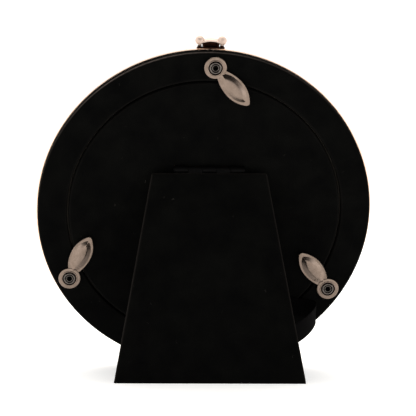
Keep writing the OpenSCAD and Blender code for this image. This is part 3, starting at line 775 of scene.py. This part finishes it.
# turn clips: a stamped leaf with a raised pillow, on a cupped ring
clip = {
    "directions": (137.2, 23.7, -37.4), "tail": 19.5, "widest": 11.0, "leaf": 8.0, "neck": 4.4,
    "neckAt": 3.44, "intoRing": 0.6, "tip": 1.15, "sheet": 0.45, "seat": 0.08, "up": 0.2, "lift": 5.0,
    "neckSteps": 20, "neckAcross": 6, "bellySteps": 24, "tipSteps": 6,
    "pillowFrom": 3.4, "pillowTo": 17.7, "pillowHalf": 3.2, "bluntness": 2.2, "fullness": 0.7,
    "ridgeIn": 1.9, "wallSlope": 0.62, "wallWide": 1.0, "crownWide": 2.4, "crownSlope": 0.05, "edge": 0.15,
    "crownAt": (0, 0.03, 0.1, 0.2, 0.28, 0.34, 0.42, 0.5, 0.6, 0.75, 1),
    "hole": 1.66, "cup": 2.5, "cupFlare": 0.25, "cupDeep": 0.45, "cupStep": 0.05, "ring": 4.3,
    "ringSoft": 0.25, "edgeShare": 0.8, "edgeTurn": (-80, 80), "lip": 0.28, "lipSink": 0.1,
    "lipTurn": (20, 160), "roundSteps": 8, "steps": 72, "weld": 1e-7, "sharp": 30,
    "shadeOut": 2.76, "shadeUp": 0.93,
}


def leafOutline():
    # right flank from the ring to the tip, round it, back down the left and across the neck
    half, mid, tip = clip["leaf"] / 2, clip["widest"], clip["tip"]
    start = clip["neckAt"] - clip["intoRing"]
    drop = half - clip["neck"] / 2
    neckArc = (drop ** 2 + (mid - clip["neckAt"]) ** 2) / (2 * drop)
    reach = clip["tail"] - tip - mid
    tipArc = (half ** 2 + reach ** 2 - tip ** 2) / (2 * (half - tip))
    turn = math.degrees(math.atan2(reach, tipArc - half))
    right = []
    for i in range(clip["neckSteps"]):
        y = start + (mid - start) * i / clip["neckSteps"]
        right.append((math.sqrt(neckArc ** 2 - (y - mid) ** 2) - neckArc + half, y))
    right += arc(half - tipArc, mid, tipArc, 0, turn, clip["bellySteps"])
    right += arc(0, clip["tail"] - tip, tip, turn, 90, clip["tipSteps"])[1:]
    left = [(-x, y) for x, y in reversed(right[:-1])]
    count = clip["neckAcross"]
    neck = [(right[0][0] * (2 * i / count - 1), start) for i in range(1, count)]
    return right + left + neck


def pillowRise(d):
    # a straight wall, then a quick roll over to a nearly flat crown
    slope, a, b, crown = clip["wallSlope"], clip["wallWide"], clip["crownWide"], clip["crownSlope"]
    over = min(max(d - a, 0), b - a)
    return slope * min(d, b) - (slope - crown) * over ** 2 / (2 * (b - a)) + crown * max(d - b, 0)


def leafRings():
    # layers from the ridge's underside out round the edge and back up over the pillow
    outline = leafOutline()
    start, low, high = outline[0][1], clip["pillowFrom"], clip["pillowTo"]
    lines = []  # for each point of the outline its foot on the pillow and its place on the ridge
    for x, y in outline:
        share = (y - start) / (clip["tail"] - start)
        wide = clip["pillowHalf"] * (1 - abs(2 * share - 1) ** clip["bluntness"]) ** clip["fullness"]
        foot = Vector((math.copysign(wide, x), low + (high - low) * share, 0))
        ridge = low + clip["ridgeIn"] + (high - low - 2 * clip["ridgeIn"]) * share
        lines.append((Vector((x, y, 0)), foot, Vector((0, ridge, 0))))

    def flat(inset, z):
        return [p + (foot - p).normalized() * inset + Vector((0, 0, z)) for p, foot, ridge in lines]

    def crown(share, z):
        return [foot.lerp(ridge, share) + Vector((0, 0, z + pillowRise(share * (ridge - foot).length)))
                for p, foot, ridge in lines]

    sheet, edge = clip["sheet"], clip["edge"]
    rings = [crown(s, -sheet) for s in reversed(clip["crownAt"])]
    rings += [flat(edge, -sheet), flat(0, edge - sheet), flat(0, -edge), flat(edge, 0)]
    return rings + [crown(s, 0) for s in clip["crownAt"]]


def onClip(number):
    # plan of one clip: its eyelet in the middle, its tail along y
    turn = math.radians(-clip["directions"][number])
    cx, cy = eyelets[number]
    c, s = math.cos(turn), math.sin(turn)
    return lambda x, y, z: onBack(cx + x * c - y * s, cy + x * s + y * c, z)


def onTail(place):
    # the tail's own plan, which rises from the neck
    lift, low = math.radians(clip["lift"]), clip["seat"] + clip["sheet"] + clip["up"]

    def tilted(p):
        run = p.y - clip["neckAt"]
        return place(p.x, clip["neckAt"] + run * math.cos(lift) - p.z * math.sin(lift),
                     low + run * math.sin(lift) + p.z * math.cos(lift))
    return tilted


def ringProfile():
    # floor round the eyelet, cup wall, the flat band and its soft edge, rolled lip, inside of the cup
    sheet, cup, ring, soft = clip["sheet"], clip["cup"], clip["ring"], clip["ringSoft"]
    seat, top, count = clip["seat"], clip["seat"] + clip["sheet"] + clip["cupDeep"], clip["roundSteps"]
    under = [(clip["hole"], seat), (cup, seat), (cup + sheet, top - sheet), (ring - soft, top - sheet)]
    edge = arc(ring - soft * clip["edgeShare"], top - sheet / 2, sheet / 2, *clip["edgeTurn"], count)
    lip = arc(cup + sheet, top - clip["lipSink"], clip["lip"], *clip["lipTurn"], count)
    flare = (cup + clip["cupFlare"], top - clip["lipSink"] - clip["cupStep"])
    return under + edge + lip + [flare, (cup, seat + sheet), (clip["hole"], seat + sheet)]


def makeClip(name, number):
    place = onClip(number)
    tilted = onTail(place)
    rings = [[tilted(p) for p in ring] for ring in leafRings()]
    leaf = newPiece("leaf", *loft(rings, False), finishes["nickel"])
    settle(leaf.data, clip["weld"])
    piece = newPiece(name, *lathe(ringProfile(), clip["steps"], place), finishes["nickel"])
    cutAway(piece, [leaf], "UNION")
    sharpen(piece, clip["sharp"])
    cx, cy = eyelets[number]

    # painted shade: marks the points inside the cup, which are painted nearly black
    def inCup(co):
        x, y, z = inPlan(co)
        return math.hypot(x - cx, y - cy) < clip["shadeOut"] and z < clip["shadeUp"]

    markPoints(piece, "paintedCupShade", inCup)
    return piece


clips = {body: makeClip(name, number) for number, (name, body) in enumerate((
    ("clipTop", "clip_top"), ("clipLeft", "clip_left"), ("clipRight", "clip_right")))}

# eyelets: a flange rolled over the clip's cup, with a second ring where the barrel turns over
eyelet = {
    "bore": 1.0, "barrel": 1.6, "low": -3.0, "board": -2.6, "clasp": 2.35, "under": 0.58,
    "rollAt": 1.975, "roll": 0.375, "rollTurn": (-90, 150), "rollSteps": 14, "dipAt": 1.52, "dip": 0.8,
    "innerAt": 1.2, "inner": 0.19, "innerUp": 1.0, "innerTurn": (10, 180), "innerSteps": 8,
    "boreStep": 0.1, "steps": 72, "sharp": 50, "gleamFrom": 1.03, "gleamFull": 1.15,
}


def makeEyelet(name, number):
    e = eyelet
    profile = [(e["bore"], e["low"]), (e["clasp"], e["low"]), (e["clasp"], e["board"]),
               (e["barrel"], e["board"]), (e["barrel"], e["under"])]
    profile += arc(e["rollAt"], e["under"] + e["roll"], e["roll"], *e["rollTurn"], e["rollSteps"])
    profile.append((e["dipAt"], e["dip"]))
    profile += arc(e["innerAt"], e["innerUp"], e["inner"], *e["innerTurn"], e["innerSteps"])
    profile.append((e["bore"], e["innerUp"] - e["boreStep"]))
    cx, cy = eyelets[number]
    turned = lathe(profile, e["steps"], lambda x, y, z: onBack(cx + x, cy + y, z))
    piece = newPiece(name, *turned, finishes["gunmetal"])
    sharpen(piece, e["sharp"])
    # painted highlight: points high on the rolled rings are marked lighter
    span = e["gleamFull"] - e["gleamFrom"]
    markPoints(piece, "gleam", lambda co: min(1, max(0, (inPlan(co)[2] - e["gleamFrom"]) / span)))
    return piece


eyeletPieces = {node: makeEyelet(name, number) for number, (name, node) in enumerate((
    ("eyeletTop", "eyelet_top"), ("eyeletLeft", "eyelet_left"), ("eyeletRight", "eyelet_right")))}
print("clips and eyelets:", *[len(o.data.polygons) for o in (*clips.values(), *eyeletPieces.values())])

# the photo lies a hair's breadth behind the glass, as thin air lies between them
photoSheet = {"airGap": 0.05, "steps": 192, "sharp": 40}


def makePhotoSheet():
    points = [inPlan(v.co) for v in nodes["photo_insert"].data.vertices]
    reach = max(math.hypot(x, y) for x, y, z in points)
    front = min(z for x, y, z in points) + photoSheet["airGap"]
    back = max(z for x, y, z in points)
    profile = [(0, front), (reach, front), (reach, back), (0, back)]
    piece = newPiece("photoSheet", *lathe(profile, photoSheet["steps"]), finishes["paper"])
    sharpen(piece, photoSheet["sharp"])
    return piece


photoPiece = makePhotoSheet()

# lint, denser on the leg than on the back, as photographed
lint = {
    "onBack": 2600.0, "onLeg": 5200.0, "length": 0.8, "radius": 0.018,
    "ringSeed": 11, "panelSeed": 12, "legSeed": 13,
}


def caughtLint(name, cloth, direction, density, seed):
    return runTree(cloth, scatterLint, lintKeys, {
        "Per Square Metre": density, "Length": lint["length"] * mm, "Radius": lint["radius"] * mm,
        "Outward": tuple(direction), "Seed": seed, "Material": finishes["lint"]}, name)


lintOnRing = caughtLint("lintOnRing", ringVelvet, outward, lint["onBack"], lint["ringSeed"])
lintOnPanel = caughtLint("lintOnPanel", panelVelvet, outward, lint["onBack"], lint["panelSeed"])
lintOnLeg = caughtLint("lintOnLeg", legVelvet, legOutward, lint["onLeg"], lint["legSeed"])
print("lint:", *[len(o.data.polygons) for o in (lintOnRing, lintOnPanel, lintOnLeg)])

# slack ribbon from the panel out past the leg's edge and back inside the leg; each share is the
# part of the way from the panel to the leg, and the panel's end is glued rootUp higher
ribbon = {
    "width": 8.0, "thick": 0.2, "tab": 10.0, "tabInset": 11.0, "free": 50.0, "rootUp": 2.1,
    "bowOut": 10.2, "bowShare": 0.18, "leadOut": 0.3, "leadOutShare": 0.02,
    "leadIn": 0.8, "leadInShare": 0.41, "landLead": 8.0, "landLeadShare": 0.86, "landInset": 5.0,
    "down": 65.0, "inside": 1.38, "edgeX": 34.9896, "tabSteps": 8, "steps": 26, "landSteps": 4,
    "lanes": 12, "cup": 0.12, "selvedge": 0.05, "selvedgeFrom": 0.9,
}


def bezier(ends, t):
    u = 1 - t
    weights = (u ** 3, 3 * t * u * u, 3 * t * t * u, t ** 3)
    return [sum(w * point[i] for w, point in zip(weights, ends)) for i in (0, 1)]


def ribbonRun():
    # each point is x and its share of the way from the panel to the leg
    r, x = ribbon, ribbon["edgeX"]
    tab, bow, land = x - r["tabInset"], x + r["bowOut"], x - r["landInset"]
    turn = (bow, r["bowShare"])
    out = ((tab, 0), (tab + r["tab"], 0), (bow + r["leadOut"], r["leadOutShare"]), turn)
    landing = (bow - r["landLead"], r["landLeadShare"])
    back = (turn, (bow - r["leadIn"], r["leadInShare"]), landing, (land, 1))
    run = [(tab - r["tab"] * (1 - i / r["tabSteps"]), 0) for i in range(r["tabSteps"])]
    run += [bezier(out, i / r["steps"]) for i in range(r["steps"] + 1)]
    run += [bezier(back, i / r["steps"]) for i in range(1, r["steps"] + 1)]
    return run + [(land - r["landInset"] * i / r["landSteps"], 1) for i in range(1, r["landSteps"] + 1)]


def slackAt(length):
    # 0 at the glued ends, 1 in the middle of the free run
    share = (length - ribbon["tab"]) / ribbon["free"]
    return math.sin(math.pi * min(1, share)) if share > 0 else 0


def ribbonSection(mid, wide, thick, slack):
    # a slightly cupped band with thicker selvedges
    ring = []
    for face in (1, -1):
        for k in range(ribbon["lanes"] + 1):
            s = face * (1 - 2 * k / ribbon["lanes"])
            bulge = ribbon["selvedge"] * slack if abs(s) > ribbon["selvedgeFrom"] else 0
            lift = -ribbon["cup"] * s * s * slack
            up = lift + face * (ribbon["thick"] / 2 + bulge)
            ring.append(onBack(*(mid + wide * (s * ribbon["width"] / 2) + thick * up)))
    return ring


def layWeave(piece, lengths):
    # v runs along the ribbon and u across it, both in millimetres
    weave = piece.data.uv_layers.new(name="weave")
    lanes = ribbon["lanes"]
    for loop in piece.data.loops:
        i, k = divmod(loop.vertex_index, 2 * lanes + 2)
        i = min(i, len(lengths) - 1)
        lane = k if k <= lanes else 2 * lanes + 1 - k
        weave.data[loop.index].uv = (lane / lanes * ribbon["width"], lengths[i])


def makeRibbon():
    t = math.radians(stance["legOpen"])
    footY = stance["hingeY"] - ribbon["down"] * math.cos(t) - ribbon["inside"] * math.sin(t)
    footZ = stance["hingeZ"] + ribbon["down"] * math.sin(t) - ribbon["inside"] * math.cos(t)
    rootZ, up = ribbon["thick"] / 2, ribbon["rootUp"]
    run = ribbonRun()
    mids = [Vector((x, footY + up * (1 - share), rootZ + (footZ - rootZ) * share)) for x, share in run]
    lengths = [0.0]
    for a, b in zip(mids, mids[1:]):
        lengths.append(lengths[-1] + (b - a).length)
    rings = []
    for i, (mid, (x, share)) in enumerate(zip(mids, run)):
        along = (mids[min(i + 1, len(mids) - 1)] - mids[max(i - 1, 0)]).normalized()
        wide = Vector((0, math.cos(t * share), -math.sin(t * share)))
        rings.append(ribbonSection(mid, wide, along.cross(wide).normalized(), slackAt(lengths[i])))
    piece = newPiece("ribbonStay", *loft(rings), finishes["grosgrain"])
    layWeave(piece, lengths)
    print("ribbon:", round(lengths[-1], 1), "mm long")
    return piece, onBack(0, footY + up, rootZ), onBack(0, footY, footZ)


ribbonStay, ribbonRoot, ribbonFoot = makeRibbon()

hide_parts("ring_velvet")
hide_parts("panel_velvet")
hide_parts("leg_velvet")
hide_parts("ribbon_stay")
for piece, body, slot in (
        (ringVelvet, "frame", "black_velvet"), (panelVelvet, "frame", "black_velvet"),
        (legVelvet, "leg", "black_velvet"), (lintOnRing, "frame", "black_velvet"),
        (lintOnPanel, "frame", "black_velvet"), (lintOnLeg, "leg", "black_velvet")):
    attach(piece, body)
for body, piece in clips.items():
    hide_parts(body)
    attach(piece, body)
for node, piece in eyeletPieces.items():
    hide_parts(node)
    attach(piece, "frame")
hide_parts("photo_insert")
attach(photoPiece, "frame")
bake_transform(ribbonStay)
print("pieces ride on their bodies")

# plain studio: white light table and walls, with a dark room above and behind the camera,
# which is what blackens the sides of the clips that face up; places and sizes in metres
studio = {
    "table": ((0.3, "#f4f3f0"), (0.7, "#f6f5f2")), "tableHalf": 25.0, "tableGlow": 0.45, "mottle": 3.0,
    "wall": 1.15, "room": 0.05, "roomFrom": 0.05, "roomFull": 0.22, "sideFrom": -0.05, "sideFull": 0.4,
    "aim": (0, 0, 0.065), "lights": (
        ("overheadSoftbox", (0.1, -0.35, 1.2), 1.2, 11.0, "#fffaf4"),
        ("leftSoftbox", (0.9, 0.35, 0.1), 0.9, 2.8, "#ffffff"),
        ("rightSoftbox", (-0.9, 0.35, 0.1), 0.9, 2.8, "#ffffff"),
    ),
}


def makeTable():
    # glowing acrylic sheet, faintly mottled
    material, tree, place = startMaterial("whiteAcrylicTable")
    mottle = addNode(tree, "ShaderNodeTexNoise", {"Vector": place, "Scale": studio["mottle"]})
    colour = addNode(tree, "ShaderNodeValToRGB", {"Fac": mottle}, studio["table"])
    endMaterial(tree, {
        "Base Color": colour, "Roughness": 0.85, "Emission Color": hexLinear("#ffffff"),
        "Emission Strength": studio["tableGlow"]})
    h = studio["tableHalf"]
    corners = [(-h, -h, 0), (h, -h, 0), (h, h, 0), (-h, h, 0)]
    newPiece("floor", corners, [(0, 1, 2, 3)], material)


def makeRoom():
    # the walls' light, dimmed upwards and towards the camera's side
    world = bpy.data.worlds.new("studio")
    world.use_nodes = True
    sky = world.node_tree
    toward = addNode(sky, "ShaderNodeTexCoord").outputs["Generated"]
    parts = addNode(sky, "ShaderNodeSeparateXYZ", {0: toward}).outputs
    above = addNode(sky, "ShaderNodeMapRange", {
        "Value": parts["Z"], "From Min": studio["roomFrom"], "From Max": studio["roomFull"]},
        interpolation_type="SMOOTHSTEP")
    behind = addNode(sky, "ShaderNodeMapRange", {
        "Value": parts["Y"], "From Min": studio["sideFrom"], "From Max": studio["sideFull"]},
        interpolation_type="SMOOTHSTEP")
    dim = addNode(sky, "ShaderNodeMath", {0: above, 1: behind}, operation="MULTIPLY")
    power = addNode(sky, "ShaderNodeMapRange", {
        "Value": dim, "To Min": studio["wall"], "To Max": studio["room"]})
    background = sky.nodes["Background"].inputs
    background["Color"].default_value = hexLinear("#ffffff")
    sky.links.new(power.outputs["Result"], background["Strength"])
    bpy.context.scene.world = world
    bpy.context.scene.view_settings.view_transform = "Standard"


def hangLights():
    for name, place, size, power, code in studio["lights"]:
        data = bpy.data.lights.new(name, "AREA")
        data.shape, data.size, data.energy = "SQUARE", size, power
        data.color = hexLinear(code)[:3]
        light = bpy.data.objects.new(name, data)
        bpy.context.scene.collection.objects.link(light)
        light.location = place
        toward = Vector(studio["aim"]) - Vector(place)
        light.rotation_euler = toward.to_track_quat("-Z", "Y").to_euler()


makeTable()
makeRoom()
hangLights()
print("studio ready")
